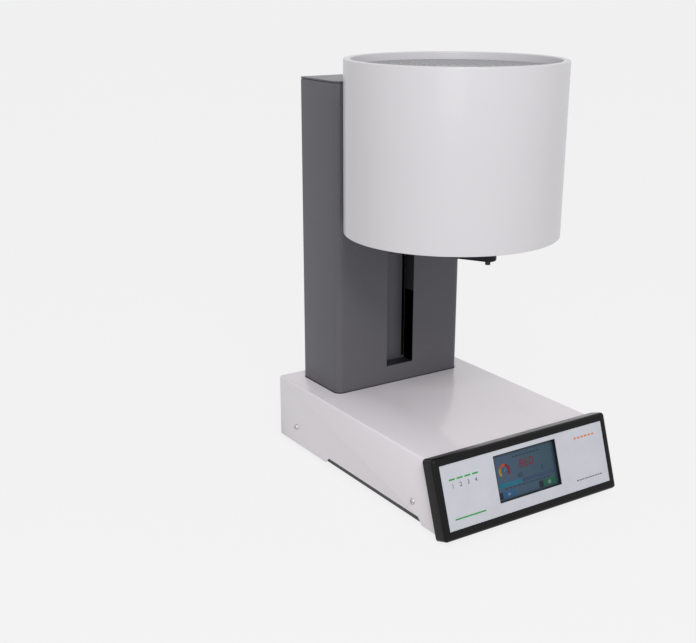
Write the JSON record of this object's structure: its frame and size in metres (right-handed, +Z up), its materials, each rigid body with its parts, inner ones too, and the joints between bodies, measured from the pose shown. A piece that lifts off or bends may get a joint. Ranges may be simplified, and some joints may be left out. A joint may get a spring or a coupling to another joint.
{
  "type": "dental porcelain furnace",
  "caption": "Table-top firing furnace: drum-shaped head fixed to a grey column over a low white base with a tilted display panel; a lift table closes the head from below.",
  "frame": {"origin": "on the table under the middle of the footprint", "axes": "+Z up, the operating panel faces -Y, +X to the right seen from the front"},
  "size_m": [0.264, 0.3997, 0.5135],
  "materials": {
    "white_enamel": "semi-gloss powder coat",
    "black_plastic": "satin",
    "label_film": "matt film",
    "grey_metallic": "metallic paint",
    "dark_grey": "satin paint",
    "grille_grey": "grey paint",
    "steel": "brushed",
    "aluminium": "machined",
    "black_anodised": "black anodised",
    "brass": "machined",
    "rubber": "matt",
    "red_silicone": "matt",
    "ceramic_fibre": "soft fibre",
    "quartz": "fine ceramic",
    "heater_alloy": "oxidised",
    "display": "glossy screen",
    "board": "solder mask",
    "copper_winding": "enamelled wire"
  },
  "bodies": {
    "housing": {"base_cover": "white_enamel", "bottom_pan": "dark_grey", "rubber_feet": "rubber", "side_screws": "steel", "front_bezel": "black_plastic", "label_plate": "label_film", "front_plate": "aluminium", "display_gasket": "rubber", "display_module": "display", "display_board": "board", "column_gasket": "rubber", "column_shell": "grey_metallic", "column_top_plate": "grey_metallic", "column_rear_cover": "dark_grey", "slot_channel": "grey_metallic", "spine": "steel", "rod_blocks": "aluminium", "guide_rods": "steel", "screw_bearings": "steel", "lift_motor": "dark_grey", "motor_bracket": "steel", "end_sensors": "black_plastic", "head_drum": "white_enamel", "head_rim": "white_enamel", "top_grille": "grille_grey", "head_base_plate": "aluminium", "chamber_can": "steel", "insulation_ring": "ceramic_fibre", "chamber_lid": "ceramic_fibre", "muffle_tube": "quartz", "heater_coil": "heater_alloy", "thermocouple": "quartz", "top_insulation": "ceramic_fibre", "head_bracket": "steel", "rear_panel": "dark_grey", "fan_frame": "black_plastic", "power_inlet": "black_plastic", "inlet_pins": "brass", "switch_frame": "black_plastic", "pump_socket": "black_plastic", "hose_nipple": "brass", "vacuum_valve": "brass", "control_board": "board", "transformer": "copper_winding", "triac_heatsink": "aluminium"},
    "lift_table": {"carriage": "aluminium", "linear_bushings": "steel", "lift_nut": "brass", "arm_bracket": "black_anodised", "lift_plate": "black_anodised", "levelling_screws": "steel", "table_flange": "steel", "table_seal": "red_silicone", "firing_plinth": "quartz"},
    "drive_screw": {"lead_screw": "steel", "shaft_coupler": "aluminium", "motor_shaft": "steel"},
    "fan": {"fan_rotor": "black_plastic"},
    "rocker": {"rocker_switch": "black_plastic"},
    "fuse_tray": {"fuse_drawer": "black_plastic"}
  },
  "joints": [
    {"name": "lift", "type": "slide", "parent": "housing", "child": "lift_table", "axis": [0, 0, 1], "range_m": [-0.17, 0]},
    {"name": "screw_turn", "type": "hinge", "parent": "housing", "child": "drive_screw", "pos_m": [0, 0.12605, 0.051], "axis": [0, 0, 1], "range_deg": [-1, 7651]},
    {"name": "fan_spin", "type": "hinge", "parent": "housing", "child": "fan", "pos_m": [-0.084, 0.17235, 0.049], "axis": [0, 1, 0], "continuous": true},
    {"name": "switch_rock", "type": "hinge", "parent": "housing", "child": "rocker", "pos_m": [0.04575, 0.17905, 0.05], "axis": [1, 0, 0], "range_deg": [0, 20]},
    {"name": "fuse_slide", "type": "slide", "parent": "housing", "child": "fuse_tray", "axis": [0, 1, 0], "range_m": [0, 0.015]}
  ],
  "couplings": [
    {"joint": "screw_turn", "follows": "lift", "rad_per_m": -785.4}
  ]
}
